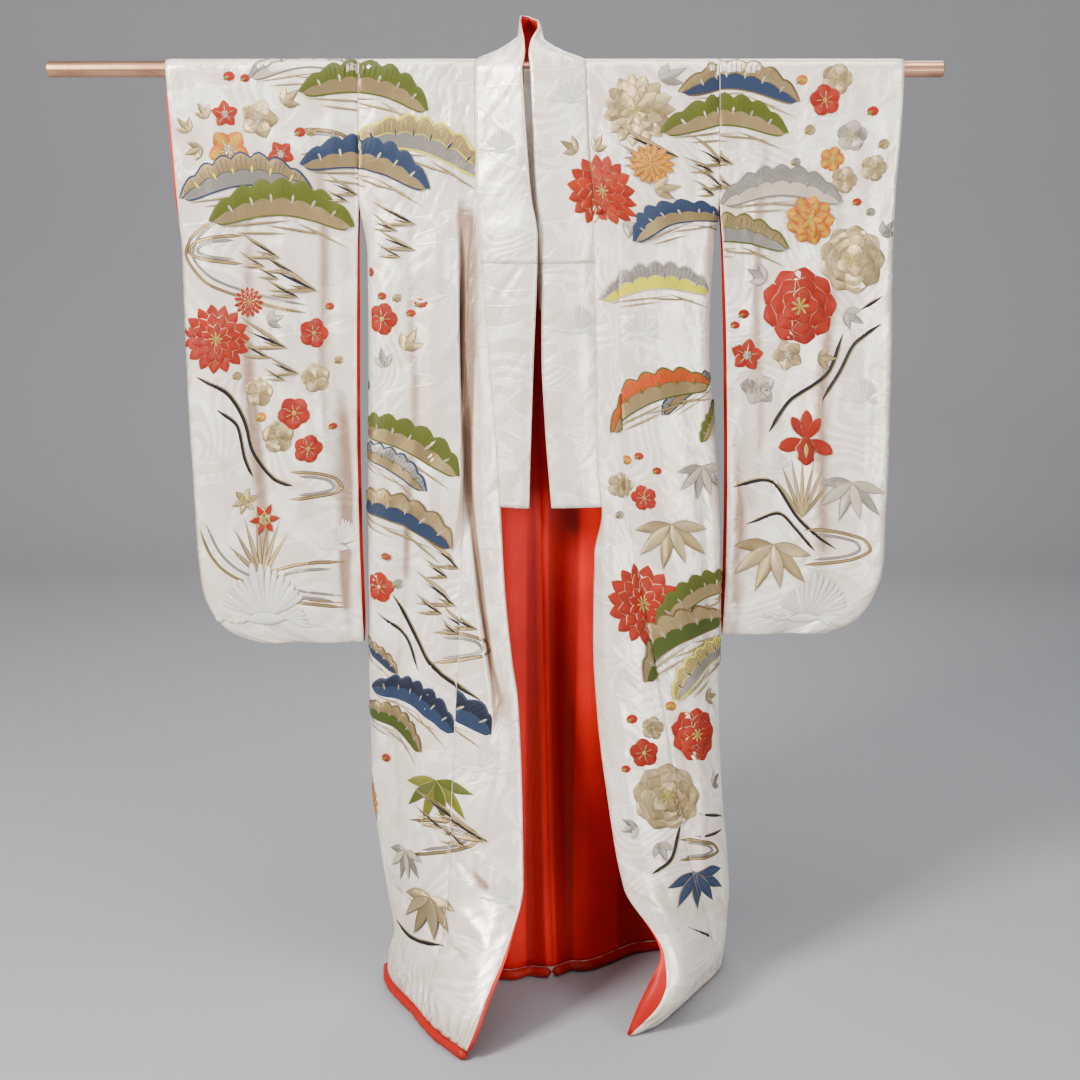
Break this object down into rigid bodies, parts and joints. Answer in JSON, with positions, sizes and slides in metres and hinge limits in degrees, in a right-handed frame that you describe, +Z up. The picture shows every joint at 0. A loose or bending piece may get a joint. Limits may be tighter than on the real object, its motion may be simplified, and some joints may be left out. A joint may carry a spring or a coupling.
{
  "type": "uchikake wedding kimono on a rod",
  "caption": "Floor-length bridal over-kimono with open fronts, long hanging sleeves, red lining and padded hem, hung on a straight copper rod that runs through both sleeves",
  "frame": {"origin": "on the rod's axis, at the middle of the garment, between the two collar bands", "axes": "+X to the right as seen by someone who faces the open fronts, +Y towards the garment's back, +Z up"},
  "size_m": [1.582, 0.4892, 1.835],
  "materials": {
    "white_satin": "cream-white figured silk satin with a woven crane and wave ground and bright embroidery",
    "red_lining": "smooth scarlet silk",
    "hem_padding": "scarlet silk rolled over wadding, softly puckered",
    "copper": "satin copper-coloured tube"
  },
  "bodies": {
    "root": {"rod": "copper", "body_left": "white_satin", "okumi_left": "white_satin", "sleeve_left": "white_satin", "body_lining_left": "red_lining", "okumi_lining_left": "red_lining", "sleeve_lining_left": "red_lining", "hem_roll_front_left": "hem_padding", "hem_roll_back_left": "hem_padding", "body_right": "white_satin", "okumi_right": "white_satin", "sleeve_right": "white_satin", "body_lining_right": "red_lining", "okumi_lining_right": "red_lining", "sleeve_lining_right": "red_lining", "hem_roll_front_right": "hem_padding", "hem_roll_back_right": "hem_padding", "collar": "white_satin", "collar_cover": "white_satin", "collar_turn": "white_satin", "collar_lining": "red_lining"}
  },
  "joints": []
}
